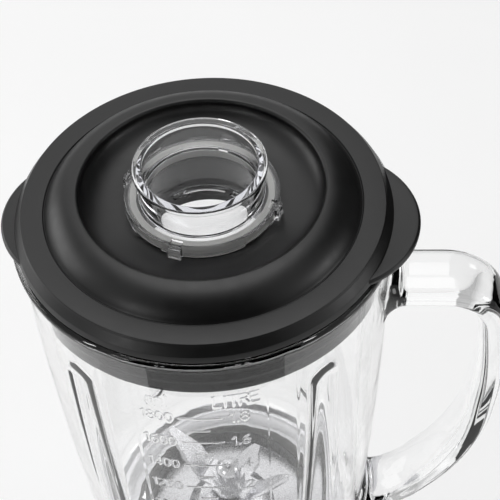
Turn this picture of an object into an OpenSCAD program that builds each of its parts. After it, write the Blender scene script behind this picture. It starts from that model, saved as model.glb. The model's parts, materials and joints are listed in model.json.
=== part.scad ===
// Countertop blender with a glass jug, a push-in lid and a clear measuring cap.
// Origin: on the motor axis, in the plane that the feet rest on. +Z is up,
// the knob and the graduations face -Y, the jug's handle points to +X.

/* [Jug] */
// Outer radius of the glass wall just under the rim
jug_r = 69.5; // [66:0.5:72]
// Thickness of the glass wall
glass_t = 4.5; // [3.5:0.5:5]
// How fast the wall narrows towards the bottom (radius lost per square millimetre of depth)
jug_taper = 0.000239; // [0.00015:0.00001:0.00026]
// Height of the lid's flange above the resting plane
flange_z = 380; // [378:1:384]
// Width of the glass handle, side to side
handle_w = 24.5; // [21:0.5:26]
// Thickness of the glass handle
handle_t = 11.5; // [10:0.5:13]

/* [Lid] */
// Radius of the lid's flat flange
flange_r = 67; // [65:0.5:68]
// Radius of the raised ridge round the dish
ridge_r = 44.8; // [43:0.1:47]
// Height of the ridge above the flange
ridge_h = 8.2; // [6:0.1:9]
// How deep the lid's plug reaches into the jug
plug_depth = 30; // [26:1:32]

/* [Measuring cap] */
// Outer radius of the cap's rim
cap_rim_r = 24.3; // [24:0.1:25]
// Height of the cap's rim above the lid's flange
cap_rim_h = 18.6; // [16:0.1:21]
// Depth of the cup's floor below the lid's flange
cap_floor_d = 13; // [11:0.5:15]
// Angle of the cap's lugs at rest, from +X
cap_turn = -16.4; // [-20:0.1:-12]

/* [Base] */
// Height of the base housing's deck
deck_z = 140; // [140:1:141]
// Radius of the base at its widest
base_r = 94; // [92:1:98]
// Wall thickness of the base housing
base_t = 3; // [2.5:0.1:3.2]
// Height of the control knob's axis
knob_z = 75; // [73:1:77]
// Radius of the control knob
knob_r = 17; // [15:0.5:19]

/* [Motor] */
// Radius of the stator stack
stator_r = 38; // [38:0.1:38.4]
// Radius of the motor shaft and of the blade shaft
shaft_r = 4; // [4:0.01:4.02]
// Reach of the blade tips from the axis
blade_reach = 30; // [26:0.5:32]

/* [Hidden] */
$fn = 72;
gap = 0.3;            // clearance between pieces of different bodies
run = 0.03;           // radial clearance of a shaft in its bearing
eps = 0.01;           // overshoot of a cutting shape past a face
steps = 12;           // steps along a curved wall

// glass jug
rim_z = flange_z - 6.8;
rim_r = jug_r + 2;
rim_h = 3;
wall_foot_z = 184;    // where the wall turns into the shoulder
neck_top_z = 174;
neck_z = 161;
neck_r = 44;
bore_r = 39.5;
shoulder_r = 50;
flute_angles = [-49, -131, 49, 131];
flute_top_z = flange_z - 40;
flute_foot_z = 200;

// blade unit
carrier_z = 156;
blade_z = 190;        // underside of the lower blade
collar_z = 145.5;     // underside of the collar

// base
floor_z = 145.2;      // seat that the collar stands on
cradle_top_z = 158;
deck_t = 3;
pod_r = 26;
pod_y = -96;          // front face of the knob's pod
plate_z = 5;
foot_ring_r = 76;
screw_ring_r = 80;
ear_ring_r = 50;
pin_x = -51.2;         // place of the interlock pin

pin_r = 2;
screw_turn = 20;      // angle of the first bottom screw

// motor
core_z = 64;
core_h = 38;
bore_stator_r = 22.3;
rotor_r = 21.6;
coil_r0 = 23;
coil_r1 = 31.5;
end_turn = 8;

function rel(z) = z - flange_z;
function wall_r(z) = jug_r - jug_taper * rel(z) * rel(z);
function wall_curve(z0, z1, off) =
    [for (i = [0:steps]) let (z = z0 + (z1 - z0) * i / steps) [wall_r(z) - off, z]];
// quarter ellipse from a to b, leaving a upright when tall is true
function quarter(a, b, tall) = [for (i = [0:steps]) let (t = 90 * i / steps)
    tall ? [a[0] + (b[0] - a[0]) * (1 - cos(t)), a[1] + (b[1] - a[1]) * sin(t)]
         : [a[0] + (b[0] - a[0]) * sin(t), a[1] + (b[1] - a[1]) * (1 - cos(t))]];

// circular arc from a up to b, sloping by lean where it ends
function bow(a, b, lean) = let (chord = atan2(b[1] - a[1], a[0] - b[0]), half = chord - lean,
    r = norm(a - b) / 2 / sin(half))
    [for (i = [0:steps]) let (t = chord + half - 2 * half * i / steps)
        [a[0] - r * (sin(chord + half) - sin(t)), a[1] + r * (cos(t) - cos(chord + half))]];

function shoulder_z(r) = neck_top_z + (wall_foot_z - neck_top_z)
    * (1 - sqrt(1 - pow((r - shoulder_r) / (wall_r(wall_foot_z) - shoulder_r), 2)));
function back(points) = [for (i = [len(points) - 1:-1:0]) points[i]];

module lathe(points) rotate_extrude() polygon(points);
module ring(r0, r1, z0, z1) rotate_extrude() translate([r0, z0]) square([r1 - r0, z1 - z0]);
module sector(r0, r1, z0, z1, a0, a1)
    rotate([0, 0, a0]) rotate_extrude(angle = a1 - a0) translate([r0, z0]) square([r1 - r0, z1 - z0]);
module at(angle, radius, z = 0) rotate([0, 0, angle]) translate([radius, 0, z]) children();
module around(count, radius, z = 0, first = 0)
    for (i = [0:count - 1]) at(first + 360 * i / count, radius, z) children();
module facing_front(x, y, z) translate([x, y, z]) rotate([90, 0, 0]) children();
module rounded(w, h, r) polygon([for (c = [0:3], i = [0:4]) let (a = 90 * c + 22.5 * i,
    x = c == 0 || c == 3 ? 1 : -1, y = c < 2 ? 1 : -1)
    [x * (w / 2 - r) + r * cos(a), y * (h / 2 - r) + r * sin(a)]]);
module screw(shank_r, length, head_r, head_h) {
    translate([0, 0, -eps]) cylinder(r = shank_r, h = length + eps);
    translate([0, 0, -head_h]) difference() {
        cylinder(r = head_r, h = head_h);
        for (a = [0, 90]) rotate([0, 0, a])
            translate([-head_r * 0.6, -0.4, -eps]) cube([head_r * 1.2, 0.8, head_h / 2]);
    }
}

// ---- measuring cap ----

cap_r = 22.8;         // outside of the cup
cap_t = 1.9;
cap_flange_r = 28.5;
flange_top = flange_z + 5.4;
ramp_h = 1.2;         // how far the skirt's ramps reach below its edge
grip_w = 5;           // width of the four outer lugs
lug_z = flange_z - 10.7;
lug_w = 6;            // the two bayonet lugs
lug_h = 2.2;
dish_z = flange_z - 1;

module measuring_cap() color([0.85, 0.88, 0.9, 0.5]) {
    rim_top = flange_z + cap_rim_h;
    floor_top = flange_z - cap_floor_d;
    foot = floor_top - 2.2;
    skirt_foot = dish_z + 2.4;
    lathe([[0, foot], [cap_r - 1.5, foot], [cap_r, foot + 1.5], [cap_r, flange_top - 1.6],
        [cap_flange_r - 1.6, flange_top - 1.6], [cap_flange_r - 1.6, skirt_foot],
        [cap_flange_r, skirt_foot], [cap_flange_r, flange_top - 0.6],
        [cap_flange_r - 0.6, flange_top], [cap_r, flange_top], [cap_r, rim_top - 2.4],
        [cap_rim_r, rim_top - 1.8], [cap_rim_r, rim_top - 0.5], [cap_rim_r - 0.5, rim_top],
        [cap_r - cap_t + 0.3, rim_top], [cap_r - cap_t, rim_top - 0.4],
        [cap_r - cap_t, floor_top + 1], [cap_r - cap_t - 1, floor_top], [0, floor_top]]);
    around(4, 0, skirt_foot - ramp_h, cap_turn)
        sector(cap_flange_r - 1.4, cap_flange_r - 0.2, 0, ramp_h + 1, -12, 52);
    around(4, cap_flange_r - 0.5, skirt_foot - ramp_h - 0.3, cap_turn)
        translate([0, -grip_w / 2, 0]) cube([2.1, grip_w, flange_top - skirt_foot + ramp_h]);
    around(2, cap_r - 0.5, lug_z, cap_turn)
        translate([0, -lug_w / 2, 0]) cube([2.8, lug_w, lug_h]);
}

module cap_seal() color("whitesmoke") 
    ring(24.1, 26.4, dish_z + gap, flange_top - 1.6 - gap);

// ---- lid ----

hole_r = 23.3;
neck_foot = flange_z - 25.5;  // lower edge of the tube round the cap
cap_travel = 57;      // turn of the cap from open to locked
ridge_lean = 6;       // slope of the ridge at its crest
plug_r = 61.6;
crease_r = 58.6;
tab_angles = [-6.6, 184.4];
tab_centres = [45.2, 42.2];
tab_radii = [34.4, 32.6];

module lid_shell() color([0.13, 0.13, 0.14]) {
    t = 2.4;
    top = flange_z;
    crest = [ridge_r, top + ridge_h];
    dish = [30, dish_z];
    skirt_z = top - 6.5;
    slot_w = lug_w + 1;
    slot_a = asin(slot_w / 2 / hole_r);
    difference() {
        union() {
            lathe(concat(
                [[hole_r, neck_foot], [hole_r + 2.2, neck_foot], [hole_r + 2.2, dish_z - t]],
                quarter([dish[0], dish[1] - t], [crest[0], crest[1] - t], false),
                back(bow([crease_r - 1 - t, top - t], [crest[0], crest[1] - t], ridge_lean)),
                [[plug_r - t, top - t], [plug_r - t, top - plug_depth], [plug_r, top - plug_depth],
                [plug_r, top - t - 1], [67.9, top - t - 1], [67.9, skirt_z], [70.3, skirt_z],
                [69.2, top - 3.5], [flange_r + 0.3, top - 0.8], [flange_r - 0.5, top],
                [crease_r, top], [crease_r - 0.4, top - 0.5]],
                bow([crease_r - 0.8, top], crest, ridge_lean),
                back(quarter(dish, crest, false)),
                [[hole_r, dish_z]]));
            for (i = [0, 1]) rotate([0, 0, tab_angles[i]]) difference() {
                translate([tab_centres[i], 0, skirt_z]) cylinder(r = tab_radii[i], h = 2.4);
                translate([0, 0, skirt_z - 1]) cylinder(r = 68.5, h = 5);
            }
        }
        around(2, 0, lug_z - 0.5, cap_turn) {
            translate([hole_r - 1, -slot_w / 2, 0]) cube([3.6, slot_w, dish_z - lug_z + 1]);
            sector(hole_r - 1, hole_r + 3, 0, lug_h + 1, 0, cap_travel + slot_a);
        }
    }
}

module lid_gasket() color([0.05, 0.05, 0.055]) {
    foot = flange_z - plug_depth + 1.5;
    ribs = 4;
    pitch = 5;
    ring(plug_r, plug_r + 1.2, foot, flange_z - 7.5);
    for (i = [0:ribs - 1]) lathe([[plug_r + 1, foot + 0.2 + i * pitch],
        [64.5, foot + 1.2 + i * pitch], [64.5, foot + 2.2 + i * pitch],
        [plug_r + 1, foot + 3.4 + i * pitch]]);
}

// ---- jug ----

spout_x = -60;
spout_h = 26;

module jug_outline(off, foot) polygon(concat([[0, foot]],
    off == 0 ? [[neck_r, foot], [neck_r, neck_top_z]] : [[bore_r, foot], [bore_r, neck_top_z + 3]],
    off == 0 ? quarter([shoulder_r, neck_top_z], [wall_r(wall_foot_z), wall_foot_z], false)
             : quarter([bore_r + 2, neck_top_z + 3], [wall_r(188) - off, 188], false),
    wall_curve(off == 0 ? wall_foot_z : 188, rim_z - rim_h, off),
    off == 0 ? [[rim_r, rim_z - rim_h + 0.8], [rim_r, rim_z - 0.8], [rim_r - 0.8, rim_z]]
             : [[wall_r(rim_z) - off, rim_z + eps]],
    [[0, rim_z + (off == 0 ? 0 : eps)]]));

// a vertical fold in the wall: a ridge inside, a groove outside
module flute(angle, r, inset) {
    length = flute_top_z - flute_foot_z;
    lean = atan((wall_r(flute_top_z) - wall_r(flute_foot_z)) / length);
    at(angle, wall_r(flute_top_z) - inset, flute_top_z) rotate([0, lean, 0])
        lathe(concat([[0, -length - r]], quarter([0, -length - r], [r, -length], false),
            back(quarter([0, r], [r, 0], false)), [[0, r]]));
}

// one run of the handle: a straight length, then a bend, then what follows;
// a straight length is a hair thinner than the bends and laps into them
handle_runs = [[37.3, 19.5, 85], [8, 212, 11], [8, 104, 32], [8, 36.8, 22], [22, 0, 0]];
handle_corner = handle_t * 0.42;
lap = 0.3;
hair = 0.02;
module handle_run(i) {
    length = handle_runs[i][0];
    bend_r = handle_runs[i][1];
    bend_a = handle_runs[i][2];
    start = i > 0 ? -lap : 0;
    end = bend_a > 0 ? length + lap : length;
    rotate([0, 90, 0]) translate([0, 0, start]) linear_extrude(end - start)
        rounded(handle_t - 2 * hair, handle_w - 2 * hair, handle_corner - hair);
    if (bend_a > 0) translate([length, 0, -bend_r]) {
        rotate([90, 0, 0]) rotate([0, 0, 90 - bend_a]) rotate_extrude(angle = bend_a)
            translate([bend_r, 0]) rounded(handle_t, handle_w, handle_corner);
        rotate([0, bend_a, 0]) translate([0, 0, bend_r]) handle_run(i + 1);
    }
}

module jar_glass() color([0.8, 0.88, 0.86, 0.4]) difference() {
    union() {
        rotate_extrude() jug_outline(0, neck_z);
        translate([spout_x, 0, rim_z - spout_h]) cylinder(r1 = 8, r2 = 13.6, h = spout_h);
        translate([54, 0, flange_z - 44]) handle_run(0);
    }
    difference() {
        union() {
            rotate_extrude() jug_outline(glass_t, neck_z - eps);
            translate([spout_x, 0, rim_z - spout_h])
                cylinder(r1 = 3.5, r2 = 9.6 + eps, h = spout_h + eps);
        }
        for (a = flute_angles) flute(a, 7.5, 1.5);
    }
    for (a = flute_angles) flute(a, 5, -1.5);
}

module jar_collar() color([0.75, 0.76, 0.77]) difference() {
    lathe(concat([[36, 153], [36, carrier_z - gap], [neck_r + gap, carrier_z - gap],
        [neck_r + gap, neck_top_z - 0.5]], [for (r = [50:1:56]) [r, shoulder_z(r) - 0.5]],
        [[57, 176], [58, 175], [57.4, 160], [54, 152], [52.6, collar_z],
        [50, collar_z], [50, 168], [47.5, 168], [47.5, 153]]));
    around(24, 60.4, 161, 7.5) cylinder(r = 3.2, h = 12);
}

module blade_seal() color("whitesmoke") ring(40, neck_r - 0.2, 159, neck_z);

module blade_carrier() color("silver") lathe([[24, carrier_z], [neck_r - 0.1, carrier_z],
    [neck_r - 0.1, 159], [bore_r - 0.3, 159], [bore_r - 0.3, 168], [37, 170.5], [20, 175], [15, 180],
    [9, 180], [9, 176], [6.5, 176], [6.5, 163], [24, 163]]);

module blade_bearing() color([0.72, 0.5, 0.25]) ring(shaft_r + run, 6.5, 163, 176);

module shaft_seal() color([0.08, 0.08, 0.08]) ring(shaft_r + run, 9, 176, 180);

module blade_shaft() color("silver") translate([0, 0, 155.2]) cylinder(r = shaft_r, h = 48.8);

module blade_sleeve() color("lightgray") ring(shaft_r, 8.5, 180 + gap, blade_z);

// one arm of a blade: a root lying flat, and a pointed wing bent up or down from it
module blade_arm(bend, wing, width) {
    t = 1.6;
    root = 12;
    translate([0, -width / 2, 0]) cube([root + 0.8, width, t]);
    translate([root, 0, t / 2]) rotate([0, -bend, 0]) translate([0, 0, -t / 2])
        linear_extrude(t) polygon([[0, -width / 2], [wing * 0.55, -width / 2], [wing, width * 0.1],
            [wing - 1, width * 0.3], [wing * 0.7, width / 2], [0, width / 2]]);
}
module blade_pair(z, bend, wing) translate([0, 0, z]) difference() {
    union() {
        cylinder(r = 9, h = 1.6);
        for (a = [0, 180]) rotate([0, 0, a]) blade_arm(bend, wing, 12);
    }
    translate([0, 0, -1]) cylinder(r = shaft_r, h = 4);
}

up_bend = 52;
module lower_blade() color("silver") rotate([0, 0, 62]) blade_pair(blade_z, -18, blade_reach - 13);

module blade_spacer() color("lightgray") ring(shaft_r, 8, blade_z + 1.6, blade_z + 4);

module upper_blade() color("silver") rotate([0, 0, -28])
    blade_pair(blade_z + 4, up_bend, (blade_reach - 12) / cos(up_bend) - 2);

module blade_nut() color("gainsboro") difference() {
    union() {
        translate([0, 0, blade_z + 5.6]) cylinder(r = 7.5, h = 6, $fn = 6);
        translate([0, 0, blade_z + 11.6]) cylinder(r = 5.8, h = 2.5);
        intersection() {
            translate([0, 0, blade_z + 13.5]) sphere(5.8);
            translate([0, 0, blade_z + 14.1]) cylinder(r = 6, h = 6);
        }
    }
    translate([0, 0, blade_z + 5]) cylinder(r = shaft_r, h = 9);
}

// six-lobed clutch outline, shared by the driving and the driven half
module clutch(r0, r1, h, width) {
    cylinder(r = r0, h = h);
    for (i = [0:5]) rotate([0, 0, i * 60]) translate([0, -width / 2, 0]) cube([r1, width, h]);
}

module jar_coupling() color([0.15, 0.15, 0.15]) translate([0, 0, 147.5]) difference() {
    union() {
        cylinder(r = 20, h = 10);
        translate([0, 0, 10]) cylinder(r = 10, h = 5.2);
    }
    translate([0, 0, -1]) clutch(9.6, 15.5, 8, 6.6);
    translate([0, 0, 6.5]) cylinder(r = shaft_r, h = 10);
}

// ---- base ----

module base_skin(off) polygon(concat([[0, plate_z + 1 - off]],
    [[base_r - 3 - off, plate_z + 1 - off], [base_r - 0.5 - off, plate_z + 5]],
    quarter([base_r - off, plate_z + 14], [68 - off, deck_z - (off == 0 ? 2 : deck_t)], true),
    [[off == 0 ? 66 : 0, deck_z - (off == 0 ? 0 : deck_t)]],
    off == 0 ? [[0, deck_z]] : []));

module base_housing() color([0.88, 0.88, 0.87]) {
    difference() {
        union() {
            rotate_extrude() base_skin(0);
            facing_front(0, -60, knob_z) cylinder(r = pod_r, h = -60 - pod_y);
        }
        difference() {
            union() {
                rotate_extrude() base_skin(base_t);
                facing_front(0, -50, knob_z) cylinder(r = pod_r - 3, h = -50 - pod_y - 3);
            }
            around(4, ear_ring_r, 126, 45) cylinder(r = 6, h = 30);
            for (y = [-1, 1]) translate([pin_x, y * 9, 124]) cylinder(r = 3, h = 30);
            around(4, screw_ring_r, plate_z + 3, screw_turn) {
                cylinder(r = 5, h = 22);
                translate([2, -1.5, 0]) cube([14, 3, 22]);
            }
        }
        translate([0, 0, deck_z - 10]) cylinder(r = 13, h = 20);
        translate([pin_x, 0, deck_z - 10]) cylinder(r = pin_r + 0.4, h = 20);
        facing_front(0, pod_y + 10, knob_z) cylinder(r = 4.7, h = 20);
        around(4, ear_ring_r, 120, 45) cylinder(r = 1.9, h = 14.5);
        around(4, screw_ring_r, plate_z, screw_turn) cylinder(r = 1.5, h = 20);
        facing_front(0, 100, 21) cylinder(r = 5.5, h = 20);
        for (i = [-4:4]) rotate([0, 0, 90 + i * 4.5]) translate([70, -1.5, 38]) cube([30, 3, 24]);
    }
}

module jar_cradle() color([0.75, 0.76, 0.77]) difference() {
    lathe([[14.5, deck_z], [66, deck_z], [66.4, deck_z + 1.5], [64.5, cradle_top_z - 2],
        [62.5, cradle_top_z], [60, cradle_top_z], [58.6, cradle_top_z - 1.5], [54.6, floor_z + 4],
        [54.2, floor_z], [27, floor_z], [26, 142.5], [17, 142.5], [17, 144], [14.5, 144]]);
    translate([pin_x, 0, deck_z - 1]) cylinder(r = pin_r + 0.4, h = 10);
}

module bottom_plate() color([0.16, 0.16, 0.16]) difference() {
    translate([0, 0, plate_z]) cylinder(r = base_r - 7, h = 3);
    around(4, screw_ring_r, plate_z - 1, screw_turn) {
        cylinder(r = 2, h = 5);
        cylinder(r = 4, h = 2.6);
    }
    around(4, foot_ring_r, plate_z - 1, 45) cylinder(r = 3.2, h = 5);
    for (i = [-4:4]) let (reach = 26 - abs(i) * 3)
        translate([i * 9 - 2, -reach, plate_z - 1]) cube([4, 2 * reach, 5]);
}

module rubber_feet() color([0.06, 0.06, 0.06]) around(4, foot_ring_r, 0, 45) {
    lathe([[0, 0], [7.5, 0], [8.5, 1], [8.5, plate_z], [3.2, plate_z], [3.2, plate_z + 3],
        [4.2, plate_z + 3], [3.4, plate_z + 5.5], [0, plate_z + 5.5]]);
}

module bottom_screws() color("silver")
    around(4, screw_ring_r, plate_z + 1.6, screw_turn) screw(1.5, 15, 3.4, 1.5);

module cord_gland() color([0.07, 0.07, 0.07]) facing_front(0, 96.6, 21)
    lathe([[3.6, 0], [8, 0], [8, 2], [5.5, 2.6], [5.5, 6.6], [7.5, 6.6], [7.5, 9], [3.6, 9]]);

module dial_plate() color("silver") facing_front(0, pod_y, knob_z) ring(4.8, 24, 0, 1);

module control_knob() color([0.1, 0.1, 0.11]) facing_front(0, pod_y - 1.4, knob_z) {
    difference() {
        lathe([[3, 4], [9, 4], [9, 0], [knob_r, 0], [knob_r, 3], [knob_r - 1.4, 15],
            [knob_r - 2.6, 16.4], [3, 16.4]]);
        around(20, knob_r + 0.6, 1.5) cylinder(r = 1.2, h = 16);
        translate([-0.9, 6, 15.6]) cube([1.8, 8, 2]);
    }
    translate([0, 0, -17]) cylinder(r = 3, h = 33.4);
}

module knob_pointer() color("white") facing_front(0, pod_y - 1.4, knob_z)
    translate([-0.9, 6, 15.6]) cube([1.8, 8, 1]);

module speed_switch() color([0.2, 0.25, 0.3]) difference() {
    union() {
        translate([-14, pod_y + 3, knob_z - 12]) cube([28, 21, 24]);
        facing_front(0, pod_y + 4, knob_z) cylinder(r = 4.5, h = 7.2);
        for (x = [-9, 0, 9]) translate([x - 1, pod_y + 24, knob_z - 18]) cube([2, 0.8, 8]);
    }
    facing_front(0, pod_y + 22, knob_z) cylinder(r = 3 + run, h = 30);
}

module switch_nut() color("silver") facing_front(0, pod_y - 1, knob_z) difference() {
    cylinder(r = 7.2, h = 2.2, $fn = 6);
    translate([0, 0, -1]) cylinder(r = 4.5, h = 5);
}

module circuit_board() color([0.1, 0.35, 0.2]) {
    y0 = pod_y + 24.8;
    translate([-26, y0, 54]) cube([52, 1.6, 46]);
    translate([-22, y0 + 1.6, 84]) cube([16, 11, 12]);
    translate([4, y0 + 1.6, 85]) cube([18, 8, 10]);
    for (x = [-18, -8]) translate([x, y0 + 1.6, 60]) rotate([-90, 0, 0]) cylinder(r = 4, h = 10);
}

module interlock_switch() color([0.15, 0.15, 0.2]) translate([pin_x, 0, 0]) {
    translate([-5, -13, 112]) cube([10, 26, 12]);
    translate([0, 0, 124]) cylinder(r = 4.8, h = 1);
    translate([0, 0, 125]) cylinder(r = 1.2, h = 1);
}

module interlock_pin() color("ivory") translate([pin_x, 0, 0]) {
    translate([0, 0, 126.3]) cylinder(r = pin_r, h = floor_z - 126.3);
    translate([0, 0, 132]) cylinder(r = 4.6, h = 1.2);
}

// spring wire swept along a helix
spring_turns = 5;
spring_steps = 14;
spring_r = 3.7;
wire_r = 0.45;
wire_sides = 6;
module interlock_spring() color("silver") {
    z0 = 125 + wire_r;
    rise = 132 - 125 - 2 * wire_r;
    rings = spring_turns * spring_steps;
    points = [for (i = [0:rings], j = [0:wire_sides - 1])
        let (a = 360 * i / spring_steps, b = 360 * j / wire_sides, r = spring_r + wire_r * cos(b))
        [pin_x + r * cos(a), r * sin(a), z0 + rise * i / rings + wire_r * sin(b)]];
    sides = [for (i = [0:rings - 1], j = [0:wire_sides - 1]) let (k = (j + 1) % wire_sides)
        [i * wire_sides + j, i * wire_sides + k, (i + 1) * wire_sides + k, (i + 1) * wire_sides + j]];
    start = [for (j = [wire_sides - 1:-1:0]) j];
    end = [for (j = [0:wire_sides - 1]) rings * wire_sides + j];
    polyhedron(points, concat(sides, [start, end]));
}

// ---- motor ----

module stator_core() color([0.45, 0.46, 0.48]) difference() {
    translate([0, 0, core_z]) cylinder(r = stator_r, h = core_h);
    translate([0, 0, core_z - 1]) cylinder(r = bore_stator_r, h = core_h + 2);
    for (a = [0, 180]) sector(bore_stator_r - 1, 32, core_z - 1, core_z + core_h + 1, a - 52, a + 52);
    for (a = [90, 270]) at(a, 35, core_z - 1) cylinder(r = 1.9, h = core_h + 2);
}

module field_coils() color([0.72, 0.38, 0.18]) for (a = [90, 270]) difference() {
    sector(coil_r0, coil_r1, core_z - end_turn, core_z + core_h + end_turn, a - 80, a + 80);
    sector(coil_r0 - 1, coil_r1 + 1, core_z - 0.5, core_z + core_h + 0.5, a - 39, a + 39);
}

module bracket(face, rim, hub_z, hub_h, bearing_r, hub_r) difference() {
    union() {
        ring(stator_r - 4, stator_r, min(face, rim), max(face, rim));
        translate([0, 0, min(face, face + (rim > face ? 0 : -3))]) cylinder(r = stator_r, h = 3);
        translate([0, 0, hub_z]) cylinder(r = hub_r, h = hub_h);
        children();
    }
    translate([0, 0, hub_z - 1]) cylinder(r = bearing_r, h = hub_h + 2);
    around(4, 0, min(face, rim) - 5, 0) translate([18, -9, 0]) cube([12, 18, 40]);
    for (a = [90, 270]) at(a, 35, min(face, rim) - 5) cylinder(r = 1.9, h = 60);
}

module upper_bracket() color([0.7, 0.7, 0.72])
    bracket(120, core_z + core_h, 113, 7, 11, 14)
        for (a = [45:90:315]) at(a, 0, 117) difference() {
            union() {
                translate([stator_r - 4, -6, 0]) cube([ear_ring_r - stator_r + 4, 12, 3]);
                translate([ear_ring_r, 0, 0]) cylinder(r = 6, h = 3);
            }
            translate([ear_ring_r, 0, -1]) cylinder(r = 2.2, h = 5);
        }

module lower_bracket() color([0.7, 0.7, 0.72]) bracket(36, core_z, 32, 7, 9.5, 13)
    for (a = [0, 180]) at(a, 0, 39) translate([15, -7, 0]) cube([3, 14, 4]);

// ball bearing: shielded ring with a shallow groove in each face
module bearing(outer, z, h) color("silver") difference() {
    ring(shaft_r + run, outer, z, z + h);
    ring(shaft_r + 2, outer - 1.8, z - 1, z + 0.4);
    ring(shaft_r + 2, outer - 1.8, z + h - 0.4, z + h + 1);
}
module upper_bearing() bearing(11, 113, 7);
module lower_bearing() bearing(9.5, 32, 7);

brush_z = 48;
module brush_holders() color([0.75, 0.6, 0.3]) for (a = [0, 180]) rotate([0, 0, a]) difference() {
    translate([14, -5, brush_z - 5]) cube([14, 10, 10]);
    translate([12, -3.5, brush_z - 3.5]) cube([18, 7, 7]);
}

module carbon_brushes() color([0.2, 0.2, 0.2]) for (a = [0, 180]) rotate([0, 0, a]) difference() {
    translate([10, -3.5, brush_z - 3.5]) cube([15, 7, 7]);
    translate([0, 0, brush_z - 6]) cylinder(r = 11 + gap, h = 12);
}

module motor_bolts() color("silver") for (a = [90, 270]) at(a, 35, 36) {
    screw(1.8, 88, 3.4, 2.5);
    translate([0, 0, 84]) cylinder(r = 3.4, h = 2.6, $fn = 6);
}

module motor_dampers() color([0.08, 0.08, 0.08])
    around(4, ear_ring_r, 0, 45) ring(2.2, 5.6, 120, 126);

module motor_screws() color("silver")
    around(4, ear_ring_r, 117, 45) screw(1.9, 17, 4, 2.4);

module motor_shaft() color("lightsteelblue") translate([0, 0, 14]) cylinder(r = shaft_r, h = 138);

slots = 12;
module armature_core() color([0.4, 0.4, 0.42]) difference() {
    translate([0, 0, core_z]) cylinder(r = rotor_r, h = core_h);
    translate([0, 0, core_z - 1]) cylinder(r = shaft_r, h = core_h + 2);
    around(slots, 12, core_z - 1) translate([0, -1.6, 0]) cube([11, 3.2, core_h + 2]);
}

module armature_winding() color([0.75, 0.42, 0.2]) {
    ring(5.5, 19, core_z - end_turn, core_z);
    ring(5.5, 19, core_z + core_h, core_z + core_h + end_turn);
    around(slots, 12.6, core_z - eps) translate([0, -1.3, 0]) cube([7.4, 2.6, core_h + 2 * eps]);
}

module commutator() color([0.7, 0.45, 0.3]) difference() {
    ring(shaft_r, 11, 42, 54);
    around(24, 8.5, 41) translate([0, -0.3, 0]) cube([4, 0.6, 14]);
}

module cooling_fan() color([0.85, 0.85, 0.8]) {
    ring(shaft_r, 8, 16, 28);
    ring(7.5, 34, 16, 17.6);
    around(11, 0, 17.5) rotate([0, 0, 12]) translate([11, 0, 0]) rotate([0, 0, 25])
        cube([22, 1.4, 9]);
}

module shaft_slinger() color([0.1, 0.1, 0.1]) ring(shaft_r, 12, 141, 142.4);

module drive_coupling() color([0.25, 0.25, 0.27]) translate([0, 0, 142.6]) difference() {
    union() {
        cylinder(r = 10, h = 4.2);
        translate([0, 0, 2.4]) clutch(9, 15, 9, 5.6);
    }
    translate([0, 0, -1]) cylinder(r = shaft_r, h = 10.4);
}

measuring_cap();
cap_seal();
lid_shell();
lid_gasket();
jar_glass();
jar_collar();
blade_seal();
blade_carrier();
blade_bearing();
shaft_seal();
blade_shaft();
blade_sleeve();
lower_blade();
blade_spacer();
upper_blade();
blade_nut();
jar_coupling();
base_housing();
jar_cradle();
bottom_plate();
rubber_feet();
bottom_screws();
cord_gland();
stator_core();
field_coils();
upper_bracket();
lower_bracket();
upper_bearing();
lower_bearing();
brush_holders();
carbon_brushes();
motor_bolts();
motor_dampers();
motor_screws();
motor_shaft();
armature_core();
armature_winding();
commutator();
cooling_fan();
shaft_slinger();
drive_coupling();
speed_switch();
switch_nut();
circuit_board();
interlock_switch();
interlock_pin();
interlock_spring();
dial_plate();
control_knob();
knob_pointer();
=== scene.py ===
import json
import math

import bmesh
import bpy
import numpy as np
from mathutils import Matrix, Vector


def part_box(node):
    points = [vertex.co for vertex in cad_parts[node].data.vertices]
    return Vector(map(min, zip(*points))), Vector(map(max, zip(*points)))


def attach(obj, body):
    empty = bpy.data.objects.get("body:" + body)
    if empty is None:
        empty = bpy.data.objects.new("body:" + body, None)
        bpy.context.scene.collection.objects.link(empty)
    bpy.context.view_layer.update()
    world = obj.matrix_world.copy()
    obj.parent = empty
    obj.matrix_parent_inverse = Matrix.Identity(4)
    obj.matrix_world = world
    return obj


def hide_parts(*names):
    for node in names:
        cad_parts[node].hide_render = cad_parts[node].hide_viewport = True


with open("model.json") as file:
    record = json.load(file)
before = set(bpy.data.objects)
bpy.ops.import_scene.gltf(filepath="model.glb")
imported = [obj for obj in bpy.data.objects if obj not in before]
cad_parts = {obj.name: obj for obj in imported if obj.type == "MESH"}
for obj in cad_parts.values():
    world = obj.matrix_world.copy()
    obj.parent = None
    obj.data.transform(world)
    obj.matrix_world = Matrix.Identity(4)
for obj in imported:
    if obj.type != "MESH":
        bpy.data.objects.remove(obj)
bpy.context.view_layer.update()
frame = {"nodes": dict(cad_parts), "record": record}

# Looks of a countertop blender: glass jug, push-in lid, clear measuring cap and motor base.
# Lengths are in millimetres until a mesh is made. The frame is the CAD one: origin on the
# motor axis in the plane of the feet, +Z up, the graduations and the knob face -Y, the
# handle points to +X.

MM = 0.001
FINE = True


def low(node):
    """Lowest corner of a CAD node, in millimetres."""
    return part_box(node)[0] / MM


def high(node):
    """Highest corner of a CAD node, in millimetres."""
    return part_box(node)[1] / MM


# ---- driving sizes, read from the frame ----

RIM_Z = high("jar_glass").z
FLANGE_Z = RIM_Z + 6.8
CAP_TOP = high("measuring_cap").z
NECK_Z = low("jar_glass").z
BASE_R = high("base_housing").x
DECK_Z = high("base_housing").z
POD_Y = high("dial_plate").y
KNOB_Y = high("knob_pointer").y
KNOB_Z = (low("control_knob").z + high("control_knob").z) / 2
BLADE_Z = low("upper_blade").z

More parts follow.
